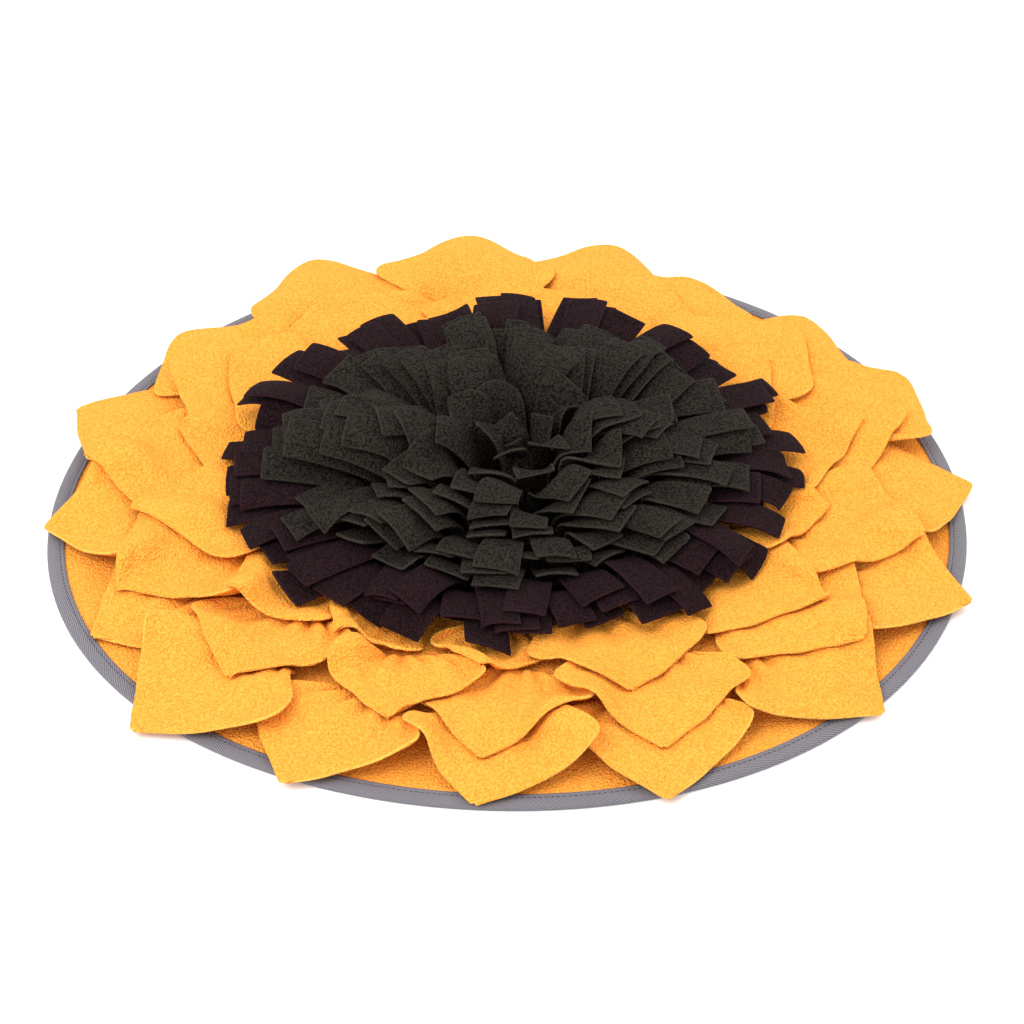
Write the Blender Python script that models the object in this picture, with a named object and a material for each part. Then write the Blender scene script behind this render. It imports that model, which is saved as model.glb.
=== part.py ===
"""A round snuffle mat in the form of a sunflower, in metres, +Z up.

A yellow fleece disc lies on the floor with a grey tape folded over its edge. Three rings of square
fleece petals are sewn to it by their gathered roots, the outer ring first, so that each ring lies over
the one outside it. Inside them stand rows of cut fleece strips, aubergine outside and charcoal green
inside. The strips of a row stand apart but for their roots, which are sewn into one narrow band.
"""

import math
import random
from collections import namedtuple

import bmesh
import bpy
import numpy as np
from mathutils import Vector

# Disc and edge tape
RIM_RADIUS = 0.2810
RIM_STEPS = 66
DISC_THICK = 0.0030
PINCH_LOW = 0.0011
PINCH_HIGH = 0.0024
TAPE_THICK = 0.0008
TAPE_WIDTH = 0.0105
TAPE_TOP = 0.0035
GAP = 0.0003
Wave = namedtuple("Wave", "lobes height peak_deg")
RIM_WAVES = (
    Wave(lobes=2, height=0.0012, peak_deg=93),
    Wave(lobes=3, height=0.0026, peak_deg=85),
    Wave(lobes=4, height=0.0010, peak_deg=32),
)

# Petals: one section for each station along a petal, heights above the disc
PETAL_THICK = 0.0026
PETAL_CLEARANCE = 0.0006
Section = namedtuple("Section", "along width middle side")
PETAL_SECTIONS = (
    Section(along=0.00, width=0.38, middle=0.0000, side=0.0000),
    Section(along=0.10, width=0.52, middle=0.0020, side=0.0065),
    Section(along=0.25, width=0.84, middle=0.0040, side=0.0130),
    Section(along=0.42, width=1.00, middle=0.0055, side=0.0140),
    Section(along=0.70, width=0.55, middle=0.0040, side=0.0045),
    Section(along=1.00, width=0.03, middle=0.0010, side=0.0010),
)
ACROSS = (-1.0, -0.5, 0.0, 0.5, 1.0)
GATHER_DEPTH = 0.0030
ROOT_EVENNESS = 0.80
FULL_LENGTH = 0.080
Ring = namedtuple("Ring", "name root_radius half_width height back_lift tips")
Tip = namedtuple("Tip", "deg reach_mm")
RINGS = (
    Ring("outer", 0.203, 0.050, 1.00, 0.012, (
        Tip(2, 286), Tip(26, 284), Tip(44, 276), Tip(62, 268), Tip(75, 289), Tip(95, 293), Tip(117, 295),
        Tip(141, 279), Tip(161, 291), Tip(186, 282), Tip(209, 274), Tip(226, 300), Tip(245, 289),
        Tip(266, 279), Tip(287, 289), Tip(315, 292), Tip(338, 290))),
    Ring("middle", 0.164, 0.051, 0.90, 0.008, (
        Tip(16, 262), Tip(42, 253), Tip(66, 243), Tip(91, 228), Tip(117, 245), Tip(147, 259), Tip(175, 262),
        Tip(203, 249), Tip(229, 240), Tip(253, 227), Tip(266, 248), Tip(289, 257), Tip(322, 255),
        Tip(346, 254))),
    Ring("inner", 0.127, 0.046, 0.45, 0.006, (
        Tip(15, 231), Tip(39, 212), Tip(65, 205), Tip(90, 200), Tip(115, 205), Tip(142, 226), Tip(163, 215),
        Tip(186, 229), Tip(216, 200), Tip(237, 180), Tip(265, 182), Tip(289, 207), Tip(327, 220),
        Tip(353, 196))),
)

# Strips: each row is sewn into a band of its own, and rows of one count and turn stand in stacks
STRIP_THICK = 0.0020
STRIP_CLEARANCE = 0.0007
BAND_HEIGHT = 0.0087
Row = namedtuple("Row", "name colour count turn root_radius reach height width")
ROWS = (
    Row("purple_1", "aubergine", 26, 0.0, 0.121, 0.175, 0.014, 0.026),
    Row("purple_2", "aubergine", 26, 0.5, 0.112, 0.170, 0.017, 0.026),
    Row("purple_3", "aubergine", 26, 0.0, 0.103, 0.167, 0.020, 0.025),
    Row("green_1", "charcoal_green", 22, 0.3, 0.094, 0.150, 0.028, 0.026),
    Row("green_2", "charcoal_green", 22, 0.8, 0.085, 0.144, 0.032, 0.026),
    Row("green_3", "charcoal_green", 22, 0.3, 0.076, 0.139, 0.034, 0.025),
    Row("green_4", "charcoal_green", 17, 0.1, 0.067, 0.120, 0.038, 0.027),
    Row("green_5", "charcoal_green", 17, 0.1, 0.058, 0.112, 0.040, 0.026),
    Row("green_6", "charcoal_green", 12, 0.6, 0.048, 0.092, 0.044, 0.027),
    Row("green_7", "charcoal_green", 12, 0.6, 0.038, 0.082, 0.046, 0.026),
    Row("green_8", "charcoal_green", 8, 0.2, 0.026, 0.056, 0.050, 0.026),
    Row("green_9", "charcoal_green", 5, 0.5, 0.013, 0.030, 0.056, 0.018),
)
Sway = namedtuple("Sway", "front_in back_in back_rise front_drop")
SWAYS = {
    "aubergine": Sway(front_in=0.021, back_in=0.002, back_rise=0.024, front_drop=0.002),
    "charcoal_green": Sway(front_in=0.040, back_in=0.023, back_rise=0.016, front_drop=0.004),
}
OFF_CENTRE = (0.010, -0.008)
STACK_REACH = 0.005
STACK_HEIGHT = 0.004
STACK_LEAN = 0.05
LAYER_REACH = 0.003
LAYER_LEAN = 0.02
LEAN_RADIUS = 0.100
STRIP_DROOP = math.radians(22)
STRIP_RISE = math.radians(34)
RISE_SHARE = 0.30
DROOP_SHARE = 0.40
PITCH_SHARE = 0.88
STRIP_TIMES = (0.0, 0.25, 0.50, 0.75, 1.0)

Cloth = namedtuple("Cloth", "colour roughness")
CLOTHS = {
    "sunflower_yellow": Cloth((0.95, 0.46, 0.055, 1.0), 0.95),
    "grey_tape": Cloth((0.19, 0.175, 0.20, 1.0), 0.70),
    "aubergine": Cloth((0.014, 0.008, 0.014, 1.0), 0.95),
    "charcoal_green": Cloth((0.030, 0.033, 0.026, 1.0), 0.95),
}

CELL = 0.0005
HALF_FIELD = 0.34
LAY_PASSES = 40
PETAL_SAMPLES = 36
STRIP_SAMPLES = 48


def clear_scene():
    for thing in list(bpy.data.objects):
        bpy.data.objects.remove(thing, do_unlink=True)


def make_material(name, cloth):
    material = bpy.data.materials.new(name)
    material.use_nodes = True
    shader = material.node_tree.nodes["Principled BSDF"]
    shader.inputs["Base Color"].default_value = cloth.colour
    shader.inputs["Roughness"].default_value = cloth.roughness
    shader.inputs["Metallic"].default_value = 0.0
    return material


def add_object(bm, name, material, collection):
    """Close the bmesh into one named object whose faces point out."""
    bmesh.ops.recalc_face_normals(bm, faces=bm.faces[:])
    mesh = bpy.data.meshes.new(name)
    bm.to_mesh(mesh)
    bm.free()
    mesh.materials.append(material)
    thing = bpy.data.objects.new(name, mesh)
    collection.objects.link(thing)
    return thing


def rim_swell(angle):
    """How far the rim stands out from a true circle at this angle."""
    return sum(w.height * math.cos(w.lobes * (angle - math.radians(w.peak_deg))) for w in RIM_WAVES)


def turned(profile, closed):
    """Spin a profile of (radius, height) points once round and swell it with the rim."""
    bm = bmesh.new()
    points = [bm.verts.new((radius, 0.0, height)) for radius, height in profile]
    pairs = list(zip(points, points[1:]))
    if closed:
        pairs.append((points[-1], points[0]))
    edges = [bm.edges.new(pair) for pair in pairs]
    bmesh.ops.spin(bm, geom=points + edges, cent=(0, 0, 0), axis=(0, 0, 1), angle=math.tau,
                   steps=RIM_STEPS, use_merge=True)
    bmesh.ops.remove_doubles(bm, verts=bm.verts[:], dist=1e-6)
    for vert in bm.verts:
        radius = vert.co.xy.length
        if radius > 0.5 * RIM_RADIUS:
            grown = radius + rim_swell(math.atan2(vert.co.y, vert.co.x))
            vert.co.xy = vert.co.xy * (grown / radius)
    return bm


def disc_mesh():
    """The fleece disc, pinched thinner where the tape grips its edge."""
    grip = RIM_RADIUS - TAPE_WIDTH - GAP
    edge = RIM_RADIUS - TAPE_THICK - GAP
    slope = 0.0010
    return turned([(0, 0), (grip - slope, 0), (grip, PINCH_LOW), (edge, PINCH_LOW), (edge, PINCH_HIGH),
                   (grip, PINCH_HIGH), (grip - slope, DISC_THICK), (0, DISC_THICK)], closed=False)


def tape_mesh():
    """The tape, folded over the edge with a leg above and a leg below."""
    inner = RIM_RADIUS - TAPE_WIDTH
    fold = RIM_RADIUS - TAPE_THICK
    low = TAPE_THICK
    high = TAPE_TOP - TAPE_THICK
    round_off = 0.4 * TAPE_THICK
    return turned([(inner, 0), (RIM_RADIUS - round_off, 0), (RIM_RADIUS, round_off),
                   (RIM_RADIUS, TAPE_TOP - round_off), (RIM_RADIUS - round_off, TAPE_TOP),
                   (inner, TAPE_TOP), (inner, high), (fold, high), (fold, low), (inner, low)], closed=True)


class Ground:
    """The height of all that is laid so far, kept on a square field of cells."""

    def __init__(self):
        count = int(2 * HALF_FIELD / CELL) + 1
        self.top = np.full((count, count), TAPE_TOP)

    def cells(self, x, y):
        return np.rint((x + HALF_FIELD) / CELL).astype(int), np.rint((y + HALF_FIELD) / CELL).astype(int)

    def height(self, x, y):
        """The highest of the cell and its eight neighbours."""
        column, row = self.cells(x, y)
        steps = (-1, 0, 1)
        return np.max([self.top[column + i, row + j] for i in steps for j in steps], axis=0)

    def cover(self, x, y, z):
        column, row = self.cells(x, y)
        np.maximum.at(self.top, (column.ravel(), row.ravel()), z.ravel())


def cell_weights(shape, i, near, far, samples):
    """Weights of a grid's points at samples spread over one cell that is cut from i, near to i + 1, far."""
    steps = np.linspace(0, 1, samples + 1)
    a, b = (side.ravel() for side in np.meshgrid(steps, steps))
    weights = np.zeros((a.size, *shape))
    weights[:, i, near] = 1 - np.maximum(a, b)
    weights[:, i + 1, far] = np.minimum(a, b)
    weights[:, i + 1, near] = np.maximum(a - b, 0)
    weights[:, i, far] = np.maximum(b - a, 0)
    return weights.reshape(a.size, -1)


def grid_weights(rows, columns, samples, both_ways):
    """The weights over all cells of a grid, with each cell cut one way or both ways."""
    weights = []
    for i in range(rows - 1):
        for j in range(columns - 1):
            weights.append(cell_weights((rows, columns), i, j, j + 1, samples))
            if both_ways:
                weights.append(cell_weights((rows, columns), i, j + 1, j, samples))
    return np.vstack(weights)


def settle(x, y, z, ground, weights, clearance):
    """Raise the points of a sheet's underside until every sample of it clears the ground."""
    need = ground.height(weights @ x.ravel(), weights @ y.ravel()) + clearance
    grip = weights / (weights ** 2).sum(axis=1)[:, None]
    height = z.ravel().copy()
    for _ in range(LAY_PASSES):
        lack = np.clip(need - weights @ height, 0, None)
        lack[need <= TAPE_TOP + clearance] = 0
        if lack.max() < 1e-5:
            break
        height += np.max(grip * lack[:, None], axis=0)
    return height.reshape(z.shape)


def spread_petal(ring, number):
    """Places and heights of one petal's underside, by station along it and across it."""
    tip = ring.tips[number]
    dice = random.Random(f"{ring.name} {number}")
    pitch_deg = 360 / len(ring.tips)
    start_deg = sum(other.deg - k * pitch_deg for k, other in enumerate(ring.tips)) / len(ring.tips)
    even_deg = start_deg + number * pitch_deg
    root_angle = math.radians(ROOT_EVENNESS * even_deg + (1 - ROOT_EVENNESS) * tip.deg)
    root = ring.root_radius * np.array([math.cos(root_angle), math.sin(root_angle)])
    tip_angle = math.radians(tip.deg)
    end = 0.001 * tip.reach_mm * np.array([math.cos(tip_angle), math.sin(tip_angle)])
    axis = (end - root) / np.linalg.norm(end - root)
    side = np.array([-axis[1], axis[0]])
    length = np.linalg.norm(end - root)
    size = min(1.0, length / FULL_LENGTH)
    half_width = ring.half_width * size * dice.uniform(0.94, 1.06)
    ears = (dice.uniform(0.35, 1.10), dice.uniform(0.35, 1.10))
    bow = dice.uniform(-0.005, 0.005)
    lift = ring.back_lift * max(0.0, math.sin(tip_angle)) + dice.uniform(0.0, 0.002)
    shape = (len(PETAL_SECTIONS), len(ACROSS))
    x, y, z = np.zeros(shape), np.zeros(shape), np.zeros(shape)
    for i, section in enumerate(PETAL_SECTIONS):
        for j, across in enumerate(ACROSS):
            ear = ears[0] if across < 0 else ears[1]
            rise = section.middle + (section.side * ear - section.middle) * across ** 2
            gather = GATHER_DEPTH * math.sin(math.tau * abs(across)) * max(0.0, 0.5 - section.along)
            gather *= min(1.0, 10 * section.along)
            out = section.along * length
            aside = half_width * section.width * across + bow * math.sin(math.pi * section.along)
            x[i, j], y[i, j] = root + axis * out + side * aside
            z[i, j] = TAPE_TOP + ring.height * size * (rise + gather) + lift * section.along ** 1.5
    z[0, :] = DISC_THICK + GAP
    return x, y, z


def sheet_mesh(x, y, low, high):
    """A closed sheet from a grid of places with its underside and its upper side."""
    rows, columns = x.shape
    bm = bmesh.new()
    made = bmesh.ops.create_grid(bm, x_segments=rows - 1, y_segments=columns - 1, size=1.0)
    grid = {}
    for vert in made["verts"]:
        i = round(0.5 * (vert.co.x + 1) * (rows - 1))
        j = round(0.5 * (vert.co.y + 1) * (columns - 1))
        grid[vert] = (i, j)
    for vert, (i, j) in grid.items():
        vert.co = (x[i, j], y[i, j], low[i, j])
    bmesh.ops.triangulate(bm, faces=bm.faces[:], quad_method="FIXED")
    lifted = bmesh.ops.extrude_face_region(bm, geom=bm.faces[:], use_keep_orig=True)
    for vert in lifted["geom"]:
        if isinstance(vert, bmesh.types.BMVert):
            near = min(grid, key=lambda other: (other.co - vert.co).length_squared)
            vert.co.z = high[grid[near]]
    return bm


def lay_petals(ground, collection, material):
    """Lay the rings from the outside in, every other petal of a ring first."""
    weights = grid_weights(len(PETAL_SECTIONS), len(ACROSS), PETAL_SAMPLES, both_ways=False)
    for ring in RINGS:
        count = len(ring.tips)
        for number in [*range(0, count, 2), *range(1, count, 2)]:
            x, y, z = spread_petal(ring, number)
            low = settle(x, y, z, ground, weights, PETAL_CLEARANCE)
            low[0, :] = z[0, :]
            high = low + PETAL_THICK
            ground.cover(weights @ x.ravel(), weights @ y.ravel(), weights @ high.ravel())
            add_object(sheet_mesh(x, y, low, high), f"petal_{ring.name}_{number + 1:02d}", material, collection)


def row_start(row):
    """Where the first strip of a row stands."""
    return row.turn * math.tau / row.count


def row_centre(row):
    """The inner rows are sewn a little off the middle of the disc."""
    off = 1 - row.root_radius / ROWS[0].root_radius
    return Vector((off * OFF_CENTRE[0], off * OFF_CENTRE[1], 0))


def strip_width(row, radius):
    """A strip is narrower where its row has too little room for its full width."""
    return min(row.width, PITCH_SHARE * math.tau / row.count * max(radius, row.root_radius))


def half_turn(row):
    """Half the angle that a strip's root takes up in its band."""
    return math.asin(0.5 * strip_width(row, row.root_radius) / row.root_radius)


def strip_ends(row, angle, stack, dice):
    """Root and tip of a strip's centre line in its own upright plane, as (radius, height)."""
    back = max(0.0, math.sin(angle))
    front = max(0.0, -math.sin(angle))
    sway = SWAYS[row.colour]
    share = row.reach / ROWS[0].reach
    drawn_in = sway.front_in * front + sway.back_in * back
    reach = row.reach + share * (stack.uniform(-STACK_REACH, STACK_REACH) - drawn_in)
    reach += dice.uniform(-LAYER_REACH, LAYER_REACH)
    height = row.height + share * (sway.back_rise * back - sway.front_drop * front)
    height += stack.uniform(-STACK_HEIGHT, STACK_HEIGHT)
    root = Vector((row.root_radius * math.cos(half_turn(row)), DISC_THICK + GAP + BAND_HEIGHT))
    return root, Vector((reach, height))


def strip_curve(root, tip):
    """Places and directions along a strip: up and out from the band, then over and drooping."""
    chord = tip - root
    slope = math.atan2(chord.y, abs(chord.x)) - STRIP_DROOP
    end_way = Vector((math.copysign(math.cos(slope), chord.x), math.sin(slope)))
    start_way = Vector((math.copysign(math.cos(STRIP_RISE), chord.x), math.sin(STRIP_RISE)))
    first = root + RISE_SHARE * chord.length * start_way
    second = tip - DROOP_SHARE * chord.length * end_way
    curve = []
    for t in STRIP_TIMES:
        s = 1 - t
        point = s ** 3 * root + 3 * s * s * t * first + 3 * s * t * t * second + t ** 3 * tip
        along = s * s * (first - root) + 2 * s * t * (second - first) + t * t * (tip - second)
        curve.append((point, along.normalized()))
    return curve


def spread_strip(row, number, dice):
    """Corner points of a strip at each step: its under side and its upper side, left and right."""
    angle = row_start(row) + number * math.tau / row.count
    stack = random.Random(f"{row.colour} {row.count} {row.turn} {number}")
    lean = stack.uniform(-STACK_LEAN, STACK_LEAN) + dice.uniform(-LAYER_LEAN, LAYER_LEAN)
    lean *= min(2.0, LEAN_RADIUS / row.root_radius)
    root, tip = strip_ends(row, angle, stack, dice)
    foot = row_centre(row) + root.x * Vector((math.cos(angle), math.sin(angle), 0))
    heading = Vector((math.cos(angle + lean), math.sin(angle + lean), 0))
    under, upper = [], []
    for t, (point, along) in zip(STRIP_TIMES, strip_curve(root, tip)):
        out = Vector((math.cos(angle + lean * t), math.sin(angle + lean * t), 0))
        side = Vector((-out.y, out.x, 0))
        centre = foot + heading * (point.x - root.x) + Vector((0, 0, point.y))
        normal = Vector((0, 0, along.x)) - out * along.y
        wide = 0.5 * strip_width(row, point.x) * side
        half = 0.5 * STRIP_THICK * normal
        under.append([centre - wide - half, centre + wide - half])
        upper.append([centre - wide + half, centre + wide + half])
    return np.array(under), np.array(upper)


def band_mesh(row):
    """The sewn band of a row, with a long step under each strip and a short one between strips."""
    bm = bmesh.new()
    low = DISC_THICK + GAP
    half = 0.5 * STRIP_THICK
    corners = [(row.root_radius - half, low), (row.root_radius + half, low),
               (row.root_radius + half, low + BAND_HEIGHT), (row.root_radius - half, low + BAND_HEIGHT)]
    points = [bm.verts.new((radius, 0.0, height)) for radius, height in corners]
    edges = [bm.edges.new((points[k], points[(k + 1) % 4])) for k in range(4)]
    bmesh.ops.spin(bm, geom=points + edges, cent=(0, 0, 0), axis=(0, 0, 1), angle=math.tau,
                   steps=2 * row.count, use_merge=True)
    pitch = math.tau / row.count
    for vert in bm.verts:
        number, odd = divmod(round(math.atan2(vert.co.y, vert.co.x) / (0.5 * pitch)), 2)
        angle = row_start(row) + number * pitch + (half_turn(row) if odd else -half_turn(row))
        radius = vert.co.xy.length
        vert.co.xy = (radius * math.cos(angle), radius * math.sin(angle))
    bmesh.ops.recalc_face_normals(bm, faces=bm.faces[:])
    return bm


def strip_roots(bm, row):
    """The faces on top of a band that its strips grow out of, by the strip's number."""
    pitch = math.tau / row.count
    roots = {}
    for face in bm.faces:
        middle = face.calc_center_median()
        turns = (math.atan2(middle.y, middle.x) - row_start(row)) / pitch
        number = round(turns)
        if face.normal.z > 0.9 and abs(turns - number) * pitch < 0.5 * half_turn(row):
            roots[number % row.count] = face
    return roots


def draw_strip(bm, face, under, upper):
    """Draw a strip out of its root face, one step at a time."""
    for step in range(1, len(STRIP_TIMES)):
        drawn = bmesh.ops.extrude_face_region(bm, geom=[face])
        bmesh.ops.delete(bm, geom=[face], context="FACES_ONLY")
        face = next(item for item in drawn["geom"] if isinstance(item, bmesh.types.BMFace))
        before = [Vector(corner) for corner in (*under[step - 1], *upper[step - 1])]
        after = [Vector(corner) for corner in (*under[step], *upper[step])]
        for vert in face.verts:
            nearest = min(range(4), key=lambda k: (before[k] - vert.co).length_squared)
            vert.co = after[nearest]


def cover_band(row, ground):
    turns = np.linspace(0, math.tau, 720)
    top = np.full_like(turns, DISC_THICK + GAP + BAND_HEIGHT)
    middle = row_centre(row)
    for radius in (row.root_radius - 0.5 * STRIP_THICK, row.root_radius + 0.5 * STRIP_THICK):
        ground.cover(middle.x + radius * np.cos(turns), middle.y + radius * np.sin(turns), top)


def fringe_mesh(row, ground, weights):
    """A row's band and its strips, each laid over all that is there already."""
    bm = band_mesh(row)
    cover_band(row, ground)
    roots = strip_roots(bm, row)
    bmesh.ops.translate(bm, verts=bm.verts[:], vec=row_centre(row))
    dice = random.Random(row.name)
    for number in range(row.count):
        under, upper = spread_strip(row, number, dice)
        low = settle(*(under[..., k] for k in range(3)), ground, weights, STRIP_CLEARANCE)
        upper[1:, :, 2] += (low - under[..., 2])[1:]
        under[1:, :, 2] = low[1:]
        for side in (under, upper):
            ground.cover(*(weights @ side[..., k].ravel() for k in range(3)))
        draw_strip(bm, roots[number], under, upper)
    return bm


def main():
    clear_scene()
    collection = bpy.data.collections.new("snuffle_mat")
    bpy.context.scene.collection.children.link(collection)
    materials = {name: make_material(name, cloth) for name, cloth in CLOTHS.items()}
    add_object(disc_mesh(), "mat_disc", materials["sunflower_yellow"], collection)
    add_object(tape_mesh(), "edge_tape", materials["grey_tape"], collection)
    ground = Ground()
    lay_petals(ground, collection, materials["sunflower_yellow"])
    weights = grid_weights(len(STRIP_TIMES), 2, STRIP_SAMPLES, both_ways=True)
    for row in ROWS:
        add_object(fringe_mesh(row, ground, weights), f"fringe_{row.name}", materials[row.colour], collection)


main()
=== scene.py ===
# %% [markdown]
# # A round snuffle mat in the form of a sunflower
# This lesson dresses the imported model of the mat. The model gives the size and the place of every
# piece. Each plain solid is stood for by a fleece piece with real thickness, soft cut edges and a nap.
# The frame is loaded first.

# %% Load the frame
import math
import random
from collections import namedtuple

import bmesh
import bpy
import numpy as np
from mathutils import Matrix, Vector


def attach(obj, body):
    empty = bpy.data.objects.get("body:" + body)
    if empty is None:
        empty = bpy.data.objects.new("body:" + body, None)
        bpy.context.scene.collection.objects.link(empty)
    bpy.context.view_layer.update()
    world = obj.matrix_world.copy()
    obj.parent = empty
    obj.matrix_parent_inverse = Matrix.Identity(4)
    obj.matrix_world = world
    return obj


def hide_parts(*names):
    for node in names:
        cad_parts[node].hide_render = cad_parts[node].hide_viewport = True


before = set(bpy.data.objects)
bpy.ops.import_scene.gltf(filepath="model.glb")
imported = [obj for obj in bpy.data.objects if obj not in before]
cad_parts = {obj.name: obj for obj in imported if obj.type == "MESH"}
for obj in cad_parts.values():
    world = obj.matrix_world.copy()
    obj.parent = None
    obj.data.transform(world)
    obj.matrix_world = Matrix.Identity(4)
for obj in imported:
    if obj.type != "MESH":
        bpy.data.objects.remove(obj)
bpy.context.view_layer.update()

print("nodes in the frame:", len(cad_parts))

# %% [markdown]
# ## Camera
# A product photograph of a mat on a table is taken from a little above with a longish lens. The mat is
# a little over half a metre across, and a real lens 1.7 m away gives its true perspective. The camera
# could be aimed with a Track To constraint, but a matrix built from three directions has no hidden
# steps.

# %% Camera
PHOTO_SIDE = 1024
SENSOR_MM = 36.0
FOCAL_PX = 2760.8
DISTANCE = 1.7
ELEVATION = math.radians(36.02)
ROLL = math.radians(-0.43)
MIDDLE_PX = (508.4, 505.0)
NEAREST = 0.05

forward = Vector((0, math.cos(ELEVATION), -math.sin(ELEVATION)))
level = Vector((1, 0, 0))
upright = level.cross(forward)
right = math.cos(ROLL) * level + math.sin(ROLL) * upright
up = math.cos(ROLL) * upright - math.sin(ROLL) * level
lens = bpy.data.cameras.new("camera")
lens.sensor_width = SENSOR_MM
lens.lens = FOCAL_PX / PHOTO_SIDE * SENSOR_MM
lens.shift_x = (PHOTO_SIDE / 2 - MIDDLE_PX[0]) / PHOTO_SIDE
lens.shift_y = (MIDDLE_PX[1] - PHOTO_SIDE / 2) / PHOTO_SIDE
lens.clip_start = NEAREST
camera = bpy.data.objects.new("camera", lens)
turned = Matrix((right, up, -forward)).transposed().to_4x4()
camera.matrix_world = Matrix.Translation(-DISTANCE * forward) @ turned
bpy.context.scene.collection.objects.link(camera)
bpy.context.scene.camera = camera
print("lens in mm:", round(lens.lens, 1))

# %% [markdown]
# ## Shader maths in plain Python
# A material is a graph of nodes, and arithmetic in it takes one Math node for each sign. A small class
# that wraps a socket lets the script write `1 - mask` instead. Every other node comes from one method,
# which sets the node's settings first and then its sockets.

# %% A socket with operators
class Wire:
    """A value in a node tree that can be added, taken away and multiplied."""

    def __init__(self, finish, socket):
        self.finish = finish
        self.socket = socket

    def maths(self, operation, *values):
        return self.finish.node("ShaderNodeMath", {"operation": operation}, dict(enumerate(values)))

    def __add__(self, other):
        return self.maths("ADD", self, other)

    def __sub__(self, other):
        return self.maths("SUBTRACT", self, other)

    def __rsub__(self, other):
        return self.maths("SUBTRACT", other, self)

    def __mul__(self, other):
        return self.maths("MULTIPLY", self, other)

    def __pow__(self, other):
        return self.maths("POWER", self, other)

    def waves(self, pitch):
        """Ridges at that pitch, from nought in the grooves to one on top."""
        return self.maths("SINE", self * (math.tau / pitch)) * 0.5 + 0.5

    __radd__ = __add__
    __rmul__ = __mul__


# %% A finish and its nodes
SHEEN_ROUGHNESS = 0.6
DULL_GLOSS = 0.10


class Finish:
    """A material in the making."""

    def __init__(self, name, roughness, sheen=0.0, sheen_tint=(1, 1, 1, 1)):
        self.material = bpy.data.materials.new(name)
        self.material.use_nodes = True
        self.tree = self.material.node_tree
        self.shader = self.tree.nodes["Principled BSDF"]
        self.shader.inputs["Roughness"].default_value = roughness
        self.shader.inputs["Sheen Weight"].default_value = sheen
        self.shader.inputs["Sheen Roughness"].default_value = SHEEN_ROUGHNESS
        self.shader.inputs["Sheen Tint"].default_value = sheen_tint
        self.shader.inputs["Specular IOR Level"].default_value = DULL_GLOSS

    def feed(self, socket, value):
        if isinstance(value, Wire):
            self.tree.links.new(value.socket, socket)
        else:
            socket.default_value = value

    def node(self, kind, settings=None, inputs=None, output=0):
        made = self.tree.nodes.new(kind)
        for name, value in (settings or {}).items():
            setattr(made, name, value)
        for name, value in (inputs or {}).items():
            self.feed(made.inputs[name], value)
        return Wire(self, made.outputs[output])

    def noise(self, place, size, detail=2.0, roughness=0.5):
        inputs = {"Vector": place, "Scale": 1 / size, "Detail": detail, "Roughness": roughness}
        return self.node("ShaderNodeTexNoise", {}, inputs)

    def between(self, value, low, high):
        """Stretch the part of a value from low to high over nought to one."""
        inputs = {"Value": value, "From Min": low, "From Max": high}
        return self.node("ShaderNodeMapRange", {"clamp": True}, inputs)

    def blend(self, share, first, second):
        """A mix of two colours."""
        inputs = {0: share, 6: first, 7: second}
        return self.node("ShaderNodeMix", {"data_type": "RGBA"}, inputs, output=2)

    def close(self, colour, height, depth):
        """Connect the colour and a bump of that depth in metres."""
        bump = self.node("ShaderNodeBump", {}, {"Height": height, "Distance": depth})
        self.feed(self.shader.inputs["Base Color"], colour)
        self.feed(self.shader.inputs["Normal"], bump)
        print("finish:", self.material.name, "with", len(self.tree.nodes), "nodes")
        return self.material


# %% [markdown]
# ## Fleece
# Polyester fleece is a knit whose face is brushed and tumbled, so its pile rolls up into soft pebbles
# of a millimetre or two with hollows between them. A hair system would show each fibre, but from a
# step away only the pebbles are seen. So smooth Voronoi cells, bent a little by noise, make the
# pebbles, and fine noise makes the fibres. The pebbles are a bump, and the hollows between them are
# also painted in a darker colour, a painted shade. In small worn patches the pile is rolled a little
# less, and slow noise lets the dye drift. A cut edge is fuzzier, and a lighter colour painted along it
# is a painted highlight for the light that it catches. A `cut` value stored on the mesh marks where it
# is.

# %% Fleece finish
PEBBLE = 0.0015
FIBRE = 0.0008
DYE_DRIFT = 0.045
WORN_PATCH = 0.014
LEAST_ROLLED = 0.84
EDGE_HIGHLIGHT_SHARE = 0.7
PEBBLE_LIGHT, FIBRE_LIGHT, DRIFT_LIGHT = 0.75, 0.40, 0.07
PEBBLE_HEIGHT, FIBRE_HEIGHT = 0.7, 0.45
FULL_CONTRAST = (0.18, 0.95)
DARK_CONTRAST = (0.22, 0.93)


def pebbled(finish, place):
    """Rolled pebbles of pile: high in the middle, low in the hollows between them."""
    scale = 1 / PEBBLE
    stray = finish.node("ShaderNodeTexNoise", {},
                        {"Vector": place, "Scale": scale, "Detail": 1.0}, output="Color")
    bent = finish.node("ShaderNodeVectorMath", {"operation": "MULTIPLY_ADD"},
                       {0: stray, 1: (PEBBLE, PEBBLE, PEBBLE), 2: place})
    cells = finish.node("ShaderNodeTexVoronoi", {"feature": "SMOOTH_F1"},
                        {"Vector": bent, "Scale": scale, "Smoothness": 0.5})
    return 1 - finish.between(cells, 0.1, 0.75)


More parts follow.
